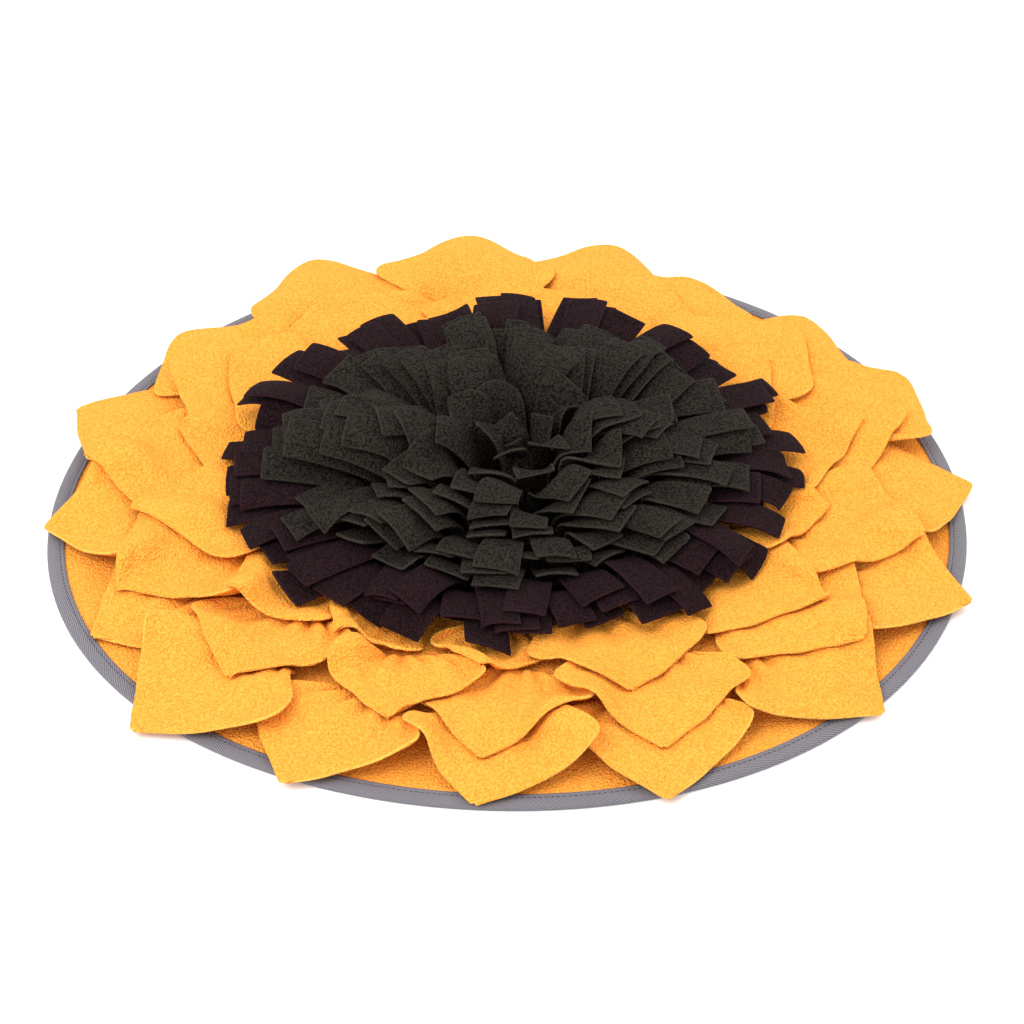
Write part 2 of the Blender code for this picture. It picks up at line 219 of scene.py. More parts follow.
def fleece(name, hollow_shade, pile, edge, sheen, depth, contrast=FULL_CONTRAST):
    finish = Finish(name, roughness=0.95, sheen=sheen, sheen_tint=edge)
    place = finish.node("ShaderNodeTexCoord", output="Object")
    pebbles = pebbled(finish, place)
    fibres = finish.noise(place, FIBRE, detail=3.0, roughness=0.65)
    drift = finish.between(finish.noise(place, DYE_DRIFT), 0.3, 0.7)
    worn = finish.between(finish.noise(place, WORN_PATCH, detail=3.0), 0.35, 0.65)
    rolled = pebbles * (LEAST_ROLLED + (1 - LEAST_ROLLED) * worn)
    cut = finish.node("ShaderNodeAttribute", {"attribute_name": "cut"}, output="Fac") ** 3.0
    light = rolled * PEBBLE_LIGHT + fibres * FIBRE_LIGHT + drift * DRIFT_LIGHT
    # Painted shade: the hollows between pebbles take the darker hollow colour; fibres and dye drift
    # vary the tone as the real cloth does.
    face = finish.blend(finish.between(light, *contrast), hollow_shade, pile)
    # Painted highlight: along cut edges the colour is blended towards the lighter edge colour.
    colour = finish.blend(cut * EDGE_HIGHLIGHT_SHARE, face, edge)
    return finish.close(colour, rolled * PEBBLE_HEIGHT + fibres * FIBRE_HEIGHT, depth)


# Each hollow colour below is a painted shade for the hollows between pebbles, and each edge colour a
# painted highlight along the cut edges.
yellow_fleece = fleece(
    "sunflower_fleece", hollow_shade=(0.94, 0.27, 0.026, 1), pile=(0.98, 0.478, 0.072, 1),
    edge=(0.98, 0.53, 0.094, 1), sheen=0.12, depth=0.0019)
purple_fleece = fleece(
    "aubergine_fleece", hollow_shade=(0.0030, 0.0010, 0.0016, 1), pile=(0.0245, 0.0080, 0.0110, 1),
    edge=(0.031, 0.012, 0.017, 1), sheen=0.045, depth=0.0020, contrast=DARK_CONTRAST)
green_fleece = fleece(
    "charcoal_fleece", hollow_shade=(0.0030, 0.0024, 0.0019, 1), pile=(0.0345, 0.0280, 0.0210, 1),
    edge=(0.042, 0.035, 0.027, 1), sheen=0.05, depth=0.0020, contrast=DARK_CONTRAST)

# %% [markdown]
# ## Twill tape and thread
# The binding is a grey polyester twill. Its diagonal ribs are about a millimetre apart, too fine to
# model, so sine waves across the tape's own UV map raise them, and the grooves between the ribs are
# painted darker as painted shade. The map is in metres, and the ribs therefore keep one width all
# round. The sewing thread is a dark twisted one.

# %% Tape finish
RIB_PITCH = 0.0012
YARN_PITCH = 0.0008
RIB_SLANT = math.radians(62)
LINT = 0.0011
TAPE_GROOVE_SHADE = (0.050, 0.047, 0.056, 1)
TAPE_LIGHT = (0.23, 0.215, 0.24, 1)
THREAD_TWIST = 0.0004
THREAD_DARK = (0.030, 0.028, 0.034, 1)
THREAD_LIGHT = (0.085, 0.080, 0.092, 1)


def woven_tape():
    finish = Finish("grey_twill", roughness=0.62, sheen=0.1)
    flat = finish.node("ShaderNodeUVMap", {"uv_map": "flat"})
    parts = finish.node("ShaderNodeSeparateXYZ", {}, {"Vector": flat}).socket.node.outputs
    along, across = Wire(finish, parts["X"]), Wire(finish, parts["Y"])
    over = along * math.cos(RIB_SLANT) + across * math.sin(RIB_SLANT)
    under = across * math.cos(RIB_SLANT) - along * math.sin(RIB_SLANT)
    rib = over.waves(RIB_PITCH)
    yarn = under.waves(YARN_PITCH)
    lint = finish.noise(flat, LINT, detail=3.0, roughness=0.6)
    weave = rib * 0.7 + yarn * 0.3
    # Painted shade: the colour falls towards the dark groove colour between the ribs; the lint noise
    # varies the tone as the real tape does.
    light = finish.between(weave * 0.8 + lint * 0.4, 0.2, 0.95)
    return finish.close(finish.blend(light, TAPE_GROOVE_SHADE, TAPE_LIGHT), weave, depth=0.0004)


def sewing_thread():
    finish = Finish("dark_thread", roughness=0.5)
    place = finish.node("ShaderNodeTexCoord", output="Object")
    twist = finish.noise(place, THREAD_TWIST, detail=1.0)
    return finish.close(finish.blend(twist, THREAD_DARK, THREAD_LIGHT), twist, depth=0.0001)


twill = woven_tape()
thread = sewing_thread()

# %% [markdown]
# ## Cloth from grids
# Petals, strips and tape start as flat grids from `create_grid`. Each point is then moved to its
# place, and the Solidify modifier gives the sheet its thickness. On petals and strips one level of
# Subdivision Surface rounds the cut edges. The grid's points are found again by their flat
# coordinates. The `cut` value is one along the edges of the grid, and a UV map in metres is written
# where a weave needs it.

# %% Grid helpers
CLOTH_THICK = 0.0019
MERGE = 1e-6


def place_grid(bm, places, cut_edges=True):
    """Add a grid whose points lie at places[row, column], and mark its edges as cut."""
    rows, columns = places.shape[:2]
    cut = bm.verts.layers.float.get("cut") or bm.verts.layers.float.new("cut")
    made = bmesh.ops.create_grid(bm, x_segments=rows - 1, y_segments=columns - 1, size=1.0)["verts"]
    found = {}
    for vert in made:
        row = round(0.5 * (vert.co.x + 1) * (rows - 1))
        column = round(0.5 * (vert.co.y + 1) * (columns - 1))
        found[vert] = (row, column)
    for vert, (row, column) in found.items():
        vert.co = places[row, column]
        at_edge = row in (0, rows - 1) or column in (0, columns - 1)
        vert[cut] = 1.0 if cut_edges and at_edge else 0.0
    return found


def finish_piece(bm, name, material, replaced, thickness=0.0, grow=1.0, levels=1):
    """Turn a bmesh into a piece that rides on the mat and stands for its plain solids."""
    mesh = bpy.data.meshes.new(name)
    bm.to_mesh(mesh)
    bm.free()
    mesh.materials.append(material)
    mesh.shade_smooth()
    piece = bpy.data.objects.new(name, mesh)
    bpy.context.scene.collection.objects.link(piece)
    if thickness:
        wall = piece.modifiers.new("thickness", "SOLIDIFY")
        wall.thickness = thickness
        wall.offset = grow
        wall.use_even_offset = False
    if levels:
        rounding = piece.modifiers.new("rounding", "SUBSURF")
        rounding.levels = levels
        rounding.render_levels = levels
    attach(piece, "root")
    if replaced:
        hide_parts(*replaced)
    return piece


print("thickness of a petal in mm:", 1000 * CLOTH_THICK)

# %% [markdown]
# ## The ground under the next piece
# Cloth that is laid on cloth takes the shape of what is below it. A simulation could settle all the
# pieces, but it would take long and would drift from the model. Instead the height of all that is
# laid so far is kept on a field of small square cells. A new sheet is lifted where it would sink into
# the field, and each lift is shared with its neighbours, so the sheet rises over an edge in a soft
# slope.

# %% Ground and draping
CELL = 0.0015
HALF_FIELD = 0.34
TAPE_TOP = 0.0035
GAP = 0.0003
FINE = 4
DRAPE_PASSES = 80


def refine(grid, times):
    """Values between a grid's points, at so many steps from point to point."""
    for axis in (0, 1):
        spots = np.linspace(0, grid.shape[axis] - 1, (grid.shape[axis] - 1) * times + 1)
        low = np.minimum(spots.astype(int), grid.shape[axis] - 2)
        share = (spots - low).reshape((-1, 1) if axis == 0 else (1, -1))
        grid = np.take(grid, low, axis) * (1 - share) + np.take(grid, low + 1, axis) * share
    return grid


class Ground:
    """The height of all the cloth that is laid so far, on small square cells."""

    def __init__(self):
        count = int(2 * HALF_FIELD / CELL) + 1
        self.top = np.full((count, count), TAPE_TOP)

    def cells(self, x, y):
        spots = (np.rint((v + HALF_FIELD) / CELL).astype(int) for v in (x, y))
        return tuple(np.clip(spot, 1, len(self.top) - 2) for spot in spots)

    def height(self, x, y):
        """The highest of a place's cell and its neighbours."""
        column, row = self.cells(x, y)
        steps = (-1, 0, 1)
        return np.max([self.top[column + i, row + j] for i in steps for j in steps], axis=0)

    def cover(self, places):
        """Raise the field to a sheet whose surface passes through the places."""
        x, y, z = (refine(places[..., k], FINE) for k in range(3))
        np.maximum.at(self.top, tuple(v.ravel() for v in self.cells(x, y)), z.ravel())


def sheet_normals(places):
    """Directions square to a sheet, at each of its points."""
    along = np.gradient(places, axis=0)
    across = np.gradient(places, axis=1)
    normal = np.cross(along, across)
    return normal / np.maximum(np.linalg.norm(normal, axis=2, keepdims=True), 1e-9)


def drape(places, ground, clearance, softness, held_rows=1):
    """Lift a sheet's underside clear of the ground, softly, without moving its sewn rows."""
    x, y, z = (places[..., k] for k in range(3))
    seen = ground.height(refine(x, FINE), refine(y, FINE))
    reach = FINE // 2
    padded = np.pad(seen, reach, mode="edge")
    window = range(2 * reach + 1)
    rows, columns = seen.shape
    near = [padded[i:i + rows:FINE, j:j + columns:FINE] for i in window for j in window]
    need = np.max(near, axis=0)
    lack = np.clip(need + clearance - z, 0, None)
    bare = need <= TAPE_TOP
    lack[bare] = np.clip(TAPE_TOP + GAP - z, 0, None)[bare]
    lack[:held_rows] = 0
    lift = lack.copy()
    for _ in range(DRAPE_PASSES):
        around = np.pad(lift, 1, mode="edge")
        mean = (around[:-2, 1:-1] + around[2:, 1:-1] + around[1:-1, :-2] + around[1:-1, 2:]) / 4
        lift = np.maximum(lack, softness * mean)
        lift[:held_rows] = 0
    laid = places.copy()
    laid[..., 2] = z + lift
    return laid


ground = Ground()
print("field of", ground.top.size, "cells")

# %% [markdown]
# ## Disc and binding
# The mat's base is one disc of the same yellow fleece. It lies flat but never quite smooth, so it gets
# low waves, and it is pinched thin where the tape grips it. The tape is a strip folded over the edge.
# It is made as an open skin round its section and thickened inwards, as a folded tape is. Its outer
# fold is round, its upper leg is a little puffed, and the seam pulls a groove into it.

# %% Disc
RIM_RADIUS = 0.2810
DISC_THICK = 0.0030
PINCH_LOW = 0.0011
PINCH_HIGH = 0.0024
TAPE_THICK = 0.0008
TAPE_WIDTH = 0.0105
Wave = namedtuple("Wave", "lobes height peak_deg")
RIM_WAVES = (
    Wave(lobes=2, height=0.0012, peak_deg=93),
    Wave(lobes=3, height=0.0026, peak_deg=85),
    Wave(lobes=4, height=0.0010, peak_deg=32),
)
DISC_RINGS = 30
DISC_STEPS = 240
STILL_SHARE = 0.5
PINCH_EASE = 0.001
RIPPLE = 0.0002
RIPPLES_ACROSS, RIPPLES_UP, RIPPLES_FINE = 47, 39, 90


def rim_swell(angle):
    """How far the rim stands out from a true circle at this angle."""
    return sum(w.height * np.cos(w.lobes * (angle - math.radians(w.peak_deg))) for w in RIM_WAVES)


def swell(bm):
    """Move the outer half of a round shape to the rim's uneven outline."""
    for vert in bm.verts:
        radius = vert.co.xy.length
        if radius > STILL_SHARE * RIM_RADIUS:
            grown = radius + float(rim_swell(math.atan2(vert.co.y, vert.co.x)))
            vert.co.xy = vert.co.xy * (grown / radius)


def ripple(x, y):
    """The low waves of cloth that lies almost flat."""
    wide = math.sin(RIPPLES_ACROSS * x + 2) * math.sin(RIPPLES_UP * y)
    return RIPPLE * (wide + math.sin(RIPPLES_FINE * y + 3))


def disc():
    grip = RIM_RADIUS - TAPE_WIDTH
    edge = RIM_RADIUS - TAPE_THICK - GAP
    top = [(grip * k / DISC_RINGS, DISC_THICK) for k in range(DISC_RINGS)]
    profile = [(0, 0), (grip - PINCH_EASE, 0), (grip + PINCH_EASE, PINCH_LOW), (edge, PINCH_LOW),
               (edge, PINCH_HIGH), (grip + PINCH_EASE, PINCH_HIGH)] + top[::-1]
    bm = bmesh.new()
    points = [bm.verts.new((radius, 0, height)) for radius, height in profile]
    edges = [bm.edges.new(pair) for pair in zip(points, points[1:])]
    bmesh.ops.spin(bm, geom=points + edges, cent=(0, 0, 0), axis=(0, 0, 1), angle=math.tau,
                   steps=DISC_STEPS, use_merge=True)
    bmesh.ops.remove_doubles(bm, verts=bm.verts[:], dist=MERGE)
    swell(bm)
    for vert in bm.verts:
        if vert.co.z > 0.9 * DISC_THICK:
            vert.co.z += ripple(vert.co.x, vert.co.y)
    bmesh.ops.recalc_face_normals(bm, faces=bm.faces[:])
    return finish_piece(bm, "base_disc", yellow_fleece, ["mat_disc"], levels=0)


base_disc = disc()
print("disc radius in mm:", RIM_RADIUS * 1000)

# %% Binding
TAPE_STEPS = 480
SEAM_IN = 0.0078
PUCKER = 0.00018
PUCKERS = 240
Corner = namedtuple("Corner", "inward height")
LOWER_LEG = (Corner(TAPE_WIDTH, 0.0), Corner(0.007, 0.0), Corner(0.004, 0.0))
UPPER_LEG = (Corner(0.0034, 0.0037), Corner(0.0052, 0.0038), Corner(0.0068, 0.0036),
             Corner(SEAM_IN, 0.0033), Corner(0.0088, 0.0036), Corner(TAPE_WIDTH, 0.0036))
FOLD_TURN = 1.3
FOLD_POINTS = 7


def tape_profile():
    """Section of the folded tape, from its lower edge round the fold to its upper edge."""
    half = 0.5 * TAPE_TOP
    fold = [Corner(half - half * math.cos(a), half + half * math.sin(a))
            for a in np.linspace(-FOLD_TURN, FOLD_TURN, FOLD_POINTS)]
    return [*LOWER_LEG, *fold, *UPPER_LEG]


def binding():
    profile = tape_profile()
    turns = np.linspace(0, math.tau, TAPE_STEPS + 1)
    lengths = [0.0]
    for (r0, h0), (r1, h1) in zip(profile, profile[1:]):
        lengths.append(lengths[-1] + math.hypot(r1 - r0, h1 - h0))
    places = np.zeros((len(turns), len(profile), 3))
    for column, (inward, height) in enumerate(profile):
        radius = RIM_RADIUS + rim_swell(turns) - inward
        puffed = PUCKER * np.sin(PUCKERS * turns) * (height > DISC_THICK)
        ring = [radius * np.cos(turns), radius * np.sin(turns), height + puffed]
        places[:, column] = np.stack(ring, axis=1)
    bm = bmesh.new()
    flat = bm.loops.layers.uv.new("flat")
    found = place_grid(bm, places, cut_edges=False)
    for face in bm.faces:
        for loop in face.loops:
            row, column = found[loop.vert]
            loop[flat].uv = (RIM_RADIUS * turns[row], lengths[column])
    bmesh.ops.remove_doubles(bm, verts=bm.verts[:], dist=MERGE)
    bmesh.ops.recalc_face_normals(bm, faces=bm.faces[:])
    return finish_piece(bm, "edge_binding", twill, ["edge_tape"],
                        thickness=TAPE_THICK, grow=-1.0, levels=0)


edge_binding = binding()
print("tape is folded to", TAPE_WIDTH * 1000, "mm")

# %% [markdown]
# A lockstitch runs round the tape, one stitch about every three millimetres. Each stitch is a small
# bead of thread that sinks into the tape at both ends. There are hundreds, so a stitch is only an
# icosphere with its points pulled out to the stitch's length.

# %% Stitches
STITCH_PITCH = 0.0032
STITCH_SHARE = 0.78
THREAD_WIDE = 0.00036
THREAD_DEEP = 0.0003
SEAM_HEIGHT = 0.0034


def stitches():
    radius = RIM_RADIUS - SEAM_IN
    count = round(math.tau * radius / STITCH_PITCH)
    bm = bmesh.new()
    for k in range(count):
        angle = math.tau * k / count
        swollen = radius + float(rim_swell(angle))
        spot = Matrix.Translation((swollen * math.cos(angle), swollen * math.sin(angle), SEAM_HEIGHT))
        shape = Matrix.Diagonal((THREAD_WIDE, 0.5 * STITCH_SHARE * STITCH_PITCH, THREAD_DEEP, 1))
        matrix = spot @ Matrix.Rotation(angle, 4, "Z") @ shape
        bmesh.ops.create_icosphere(bm, subdivisions=1, radius=1.0, matrix=matrix)
    return finish_piece(bm, "binding_seam", thread, [], levels=0), count


binding_seam, stitch_count = stitches()
print("stitches round the tape:", stitch_count)

# %% [markdown]
# ## Petals
# A petal is a square of fleece. One corner points out, the opposite corner is gathered and sewn down,
# and the two corners at the sides stand up as soft round ears, because the gathers push them up. It
# could be sculpted by hand, but a few formulas shape all the petals, and seeded draws make each one
# different. The sections of a petal are the model's own up to its widest place, and finer from there
# to the tip. Between them a smooth curve runs that never swings past its points. Each side is rolled
# up a little along its edge, and pleats run out from the sewn root. Petals at the far side of the mat
# are fuller and rounder.

# %% A smooth curve through a few values
def flow(at, stations, values):
    """A curve through the values that keeps between them."""
    at, stations, values = (np.asarray(v, float) for v in (at, stations, values))
    step = np.diff(stations)
    rise = np.diff(values) / step
    slope = np.concatenate([rise[:1], np.zeros(len(rise) - 1), rise[-1:]])
    for k in range(1, len(rise)):
        if rise[k - 1] * rise[k] > 0:
            slope[k] = 2 * rise[k - 1] * rise[k] / (rise[k - 1] + rise[k])
    k = np.clip(np.searchsorted(stations, at) - 1, 0, len(step) - 1)
    t = (at - stations[k]) / step[k]
    ahead = values[k] * (1 - t) ** 2 * (1 + 2 * t) + values[k + 1] * t ** 2 * (3 - 2 * t)
    return ahead + step[k] * t * (1 - t) * (slope[k] * (1 - t) - slope[k + 1] * t)


# %% Petal tables
Section = namedtuple("Section", "along width middle side")
PETAL_SECTIONS = (
    Section(along=0.00, width=0.38, middle=0.0000, side=0.0000),
    Section(along=0.10, width=0.52, middle=0.0020, side=0.0065),
    Section(along=0.25, width=0.84, middle=0.0040, side=0.0130),
    Section(along=0.42, width=1.00, middle=0.0055, side=0.0140),
    Section(along=0.61, width=0.72, middle=0.0048, side=0.0075),
    Section(along=0.81, width=0.38, middle=0.0028, side=0.0028),
    Section(along=1.00, width=0.015, middle=0.0010, side=0.0010),
)
Ring = namedtuple("Ring", "name root_radius half_width height back_lift tips")
Tip = namedtuple("Tip", "deg reach_mm")
RINGS = (
    Ring("outer", root_radius=0.203, half_width=0.050, height=1.00, back_lift=0.012, tips=(
        Tip(2, 286), Tip(26, 284), Tip(44, 276), Tip(62, 268), Tip(75, 289), Tip(95, 293),
        Tip(117, 295), Tip(141, 279), Tip(161, 291), Tip(186, 282), Tip(209, 274), Tip(226, 300),
        Tip(245, 289), Tip(266, 279), Tip(287, 289), Tip(315, 292), Tip(338, 290))),
    Ring("middle", root_radius=0.164, half_width=0.051, height=0.90, back_lift=0.008, tips=(
        Tip(16, 262), Tip(42, 253), Tip(66, 243), Tip(91, 228), Tip(117, 245), Tip(147, 259),
        Tip(175, 262), Tip(203, 249), Tip(229, 240), Tip(253, 227), Tip(266, 248), Tip(289, 257),
        Tip(322, 255), Tip(346, 254))),
    Ring("inner", root_radius=0.127, half_width=0.046, height=0.45, back_lift=0.006, tips=(
        Tip(15, 231), Tip(39, 212), Tip(65, 205), Tip(90, 200), Tip(115, 205), Tip(142, 226),
        Tip(163, 215), Tip(186, 229), Tip(216, 200), Tip(237, 180), Tip(265, 182), Tip(289, 207),
        Tip(327, 220), Tip(353, 196))),
)
print("petals in each ring:", [len(ring.tips) for ring in RINGS])

# %% Where a petal is sewn down
MM = 0.001
ROOT_EVENNESS = 0.80
FULL_LENGTH = 0.080


def petal_size(ring, number):
    """A petal that reaches less far is smaller all over."""
    return min(1.0, (MM * ring.tips[number].reach_mm - ring.root_radius) / FULL_LENGTH)


def petal_axis(ring, number):
    """Where a petal is sewn down, its direction from there to its tip, and its length."""
    tip = ring.tips[number]
    pitch_deg = 360 / len(ring.tips)
    start_deg = sum(other.deg - k * pitch_deg for k, other in enumerate(ring.tips)) / len(ring.tips)
    even_deg = start_deg + number * pitch_deg
    root_angle = math.radians(ROOT_EVENNESS * even_deg + (1 - ROOT_EVENNESS) * tip.deg)
    tip_angle = math.radians(tip.deg)
    root = ring.root_radius * np.array([math.cos(root_angle), math.sin(root_angle)])
    end = MM * tip.reach_mm * np.array([math.cos(tip_angle), math.sin(tip_angle)])
    length = np.linalg.norm(end - root)
    return root, (end - root) / length, length


print("length of the first petal in mm:", round(petal_axis(RINGS[0], 0)[2] / MM))

# %% Outline and rolled ears
WIDER = 1.14
BACK_WIDER = 0.12
OUTLINE_STEPS = 7
TIP_ROUND = 0.10
BACK_TIP_ROUND = 0.60
EAR_RADIUS = 0.024
ROLL_FROM = 0.03
ROLL_SPAN = 0.72
LEAST_EAR_ROLL = 0.12
EAR_ROLL = 0.72
EAR_HEIGHTS = (0.35, 1.10)
BACK_FLATTER = 0.7


def section_curve(along, measure):
    """One measure of the petal's sections, as a smooth curve."""
    stations = [section.along for section in PETAL_SECTIONS]
    return flow(along, stations, [getattr(section, measure) for section in PETAL_SECTIONS])


def half_outline(along, soft, back):
    """Share of the half width along a petal, with its corners rounded over the soft length."""
    spread = [np.clip(along + k * soft, 0, 1) for k in np.linspace(-1, 1, OUTLINE_STEPS)]
    width = sum(section_curve(at, "width") for at in spread) / len(spread)
    return width + (TIP_ROUND + BACK_TIP_ROUND * back) * np.sqrt(1 - along) * along ** 6


def ear_roll(along, ear, back):
    """The angle that a side is rolled up by."""
    rolled = np.sin(math.pi * np.clip((along - ROLL_FROM) / ROLL_SPAN, 0, 1)) ** 1.3
    return (LEAST_EAR_ROLL + EAR_ROLL * ear ** 1.5) * (1 - BACK_FLATTER * back) * rolled


def roll_up(across, width, roll):
    """How far to the side, and how high, cloth comes whose sides are rolled up by an angle."""
    spare = EAR_RADIUS * (roll - np.sin(roll))
    start = width - EAR_RADIUS * np.sin(roll)
    out = np.abs(across) * (width + spare)
    turn = np.clip((out - start) / EAR_RADIUS, 0, roll)
    aside = np.where(out > start, start + EAR_RADIUS * np.sin(turn), out) * np.sign(across)
    return aside, EAR_RADIUS * (1 - np.cos(turn))


fullest = LEAST_EAR_ROLL + EAR_ROLL * EAR_HEIGHTS[1] ** 1.5
print("the fullest ear is rolled up by", round(math.degrees(fullest)), "degrees")

# %% Gathers and buckles
PLEATS = (4.0, 6.0)
PLEAT_DEPTH = 0.0048
PLEAT_REACH = 0.024
PLEAT_GROWTH = 8
CREASES = 13
CREASE_DEPTH = 0.0012
CREASE_REACH = 0.006
CREASE_GROWTH = 20
BUCKLE = 0.0018
BUCKLES_ALONG, BUCKLES_ACROSS = 5.0, 2.4
EDGE_WAVE = 0.0006
EDGE_WAVES = 23


def gathers(along, across, length, pleats, phase):
    """Pleats and finer creases that run out from the sewn root and fade."""
    pleat = np.sin(pleats * math.pi * across + phase) * np.exp(-along * length / PLEAT_REACH)
    pleat = PLEAT_DEPTH * pleat * np.clip(PLEAT_GROWTH * along, 0, 1)
    crease = CREASE_DEPTH * np.sin(CREASES * math.pi * across + phase)
    crease = crease * np.exp(-along * length / CREASE_REACH)
    return pleat + crease * np.clip(CREASE_GROWTH * along, 0, 1)


def buckles(along, across, phase):
    """The low waves of a limp sheet."""
    waves = np.sin(BUCKLES_ALONG * along + BUCKLES_ACROSS * across + phase)
    return BUCKLE * waves * np.sin(math.pi * along)


def edge_waves(along, across, phase):
    """How a hand-cut edge strays from its line."""
    return EDGE_WAVE * np.sin(EDGE_WAVES * along + phase) * np.abs(across) ** 6


print("pleats fade over", PLEAT_REACH / MM, "mm")

# %% Form of one petal
PETAL_ALONG = np.append(np.linspace(0, 0.985, 27), 1.0)
PETAL_ACROSS = np.concatenate([[-1], np.linspace(-0.975, 0.975, 23), [1]])
PETAL_WIDTHS = (0.94, 1.06)
OUTLINE_SOFTNESS = (0.03, 0.10)
ROLL_HEIGHTS = (0.7, 1.2)
BACK_MOUND = 0.009
BOW = 0.005
LOOSE_LIFT = 0.002


def petal_places(ring, number):
    """Places of a petal's underside before it is laid."""
    dice = random.Random(f"{ring.name} {number}")
    root, axis, length = petal_axis(ring, number)
    side = np.array([-axis[1], axis[0]])
    back = max(0.0, math.sin(math.radians(ring.tips[number].deg)))
    size = petal_size(ring, number)
    half_width = ring.half_width * size * dice.uniform(*PETAL_WIDTHS)
    ears = (dice.uniform(*EAR_HEIGHTS), dice.uniform(*EAR_HEIGHTS))
    bow = dice.uniform(-BOW, BOW)
    lift = ring.back_lift * back + dice.uniform(0.0, LOOSE_LIFT)

    along = PETAL_ALONG[:, None]
    across = PETAL_ACROSS[None, :]
    arch = np.sin(math.pi * along)
    ear = np.where(across < 0, ears[0], ears[1])
    soft = dice.uniform(*OUTLINE_SOFTNESS) * arch
    width = (WIDER + BACK_WIDER * back) * half_width * half_outline(along, soft, back)
    aside, rolled_up = roll_up(across, width, ear_roll(along, ear, back))
    rolled_up = rolled_up * size * dice.uniform(*ROLL_HEIGHTS)

    middle = section_curve(along, "middle")
    edge = section_curve(along, "side")
    rise = middle + (edge * ear - middle) * across ** 2
    rise = rise + BACK_MOUND * back * arch * (1 - across ** 2)
    pleat = gathers(along, across, length,
                    pleats=dice.uniform(*PLEATS), phase=dice.uniform(0, math.tau))
    buckle = buckles(along, across, phase=dice.uniform(0, math.tau))
    stray = edge_waves(along, across, phase=dice.uniform(0, math.tau))

    aside = aside + bow * arch + stray
    height = TAPE_TOP + ring.height * size * (rise + rolled_up) + pleat + buckle + lift * along ** 1.5
    places = np.zeros((len(PETAL_ALONG), len(PETAL_ACROSS), 3))
    places[..., 0] = root[0] + axis[0] * along * length + side[0] * aside
    places[..., 1] = root[1] + axis[1] * along * length + side[1] * aside
    places[..., 2] = height
    places[0, :, 2] = DISC_THICK
    return places


print("points in a petal's grid:", len(PETAL_ALONG) * len(PETAL_ACROSS))

# %% Lay the petals
PETAL_CLEARANCE = 0.0006
PETAL_SOFTNESS = 0.965
PETAL_CUT = 0.085


def lay_petal(ring, number):
    name = f"{ring.name}_{number + 1:02d}"
    laid = drape(petal_places(ring, number), ground, PETAL_CLEARANCE, PETAL_SOFTNESS)
    ground.cover(laid)
    ground.cover(laid + CLOTH_THICK * sheet_normals(laid))
    bm = bmesh.new()
    place_grid(bm, laid)
    piece = finish_piece(bm, f"fleece_{name}", yellow_fleece, [f"petal_{name}"],
                         thickness=CLOTH_THICK)
    cut = PETAL_CUT * petal_size(ring, number)
    return piece


petals = []
for ring in RINGS:
    count = len(ring.tips)
    # Every other petal is laid first, and the rest lie over them.
    for number in [*range(0, count, 2), *range(1, count, 2)]:
        petals.append(lay_petal(ring, number))
print("petals:", len(petals), "highest point in mm:", round(1000 * ground.top.max(), 1))

# %% [markdown]
# ## Strips
# The middle of the flower is a thick shag of fleece strips with square ends. Each row is sewn to the
# disc along a circle, and its strips stand up and fall outwards over the row before. Copies of one
# strip could be scattered, but they would cut through each other, so every strip is laid in turn.
# Rows of one count and turn stand in stacks, whose strips lean and roll much the same way. A strip's
# centre line is a Bezier curve in an upright plane, and the strip twists about it towards its end.
# The strips of a row are one piece, made from a small grid each, with a sewn band at their feet.
# Three small strips more stand in the hollow of the innermost row, and belong to its piece.

# %% Strip tables
Row = namedtuple("Row", "name colour count turn root_radius reach height width")
ROWS = (
    Row("purple_1", "aubergine", 26, 0.0, 0.121, 0.175, 0.014, 0.026),
    Row("purple_2", "aubergine", 26, 0.5, 0.112, 0.170, 0.017, 0.026),
    Row("purple_3", "aubergine", 26, 0.0, 0.103, 0.167, 0.020, 0.025),
    Row("green_1", "charcoal_green", 22, 0.3, 0.094, 0.150, 0.028, 0.026),
    Row("green_2", "charcoal_green", 22, 0.8, 0.085, 0.144, 0.032, 0.026),
    Row("green_3", "charcoal_green", 22, 0.3, 0.076, 0.139, 0.034, 0.025),
    Row("green_4", "charcoal_green", 17, 0.1, 0.067, 0.120, 0.038, 0.027),
    Row("green_5", "charcoal_green", 17, 0.1, 0.058, 0.112, 0.040, 0.026),
    Row("green_6", "charcoal_green", 12, 0.6, 0.048, 0.092, 0.044, 0.027),
    Row("green_7", "charcoal_green", 12, 0.6, 0.038, 0.082, 0.046, 0.026),
    Row("green_8", "charcoal_green", 8, 0.2, 0.026, 0.056, 0.050, 0.026),
    Row("green_9", "charcoal_green", 5, 0.5, 0.013, 0.030, 0.056, 0.018),
)
CORE = Row("green_core", "charcoal_green", 3, 0.15, 0.0060, 0.015, 0.042, 0.017)
FLEECES = {"aubergine": purple_fleece, "charcoal_green": green_fleece}
print("rows of strips:", len(ROWS))

# %% How a strip lies
Sway = namedtuple("Sway", "front_in back_in back_rise front_drop lean")
SWAYS = {
    "aubergine": Sway(front_in=0.021, back_in=0.002, back_rise=0.024, front_drop=0.002, lean=0.24),
    "charcoal_green": Sway(front_in=0.040, back_in=0.023, back_rise=0.016, front_drop=0.004, lean=0.38),
}
STACK_REACH = 0.012
STACK_HEIGHT = 0.007
STACK_ROLL = 0.32
LAYER_REACH = 0.003
LAYER_LEAN = 0.08
LAYER_ROLL = 0.12
LEAN_RADIUS = 0.1
ROLL_RADIUS = 0.06
MOST_LEAN_GROWTH = 2.0
MOST_ROLL_GROWTH = 3.0
MOST_DROOP = math.radians(56)
TOP_LIMIT = 0.057
CUPS = (-0.0018, 0.0030)
STRIP_WIDTHS = (0.84, 1.10)
Lie = namedtuple("Lie", "angle lean reach height roll droop cup width")


def row_start(row):
    """Where the first strip of a row stands. Rows of one count and turn stand in stacks."""
    return row.turn * math.tau / row.count


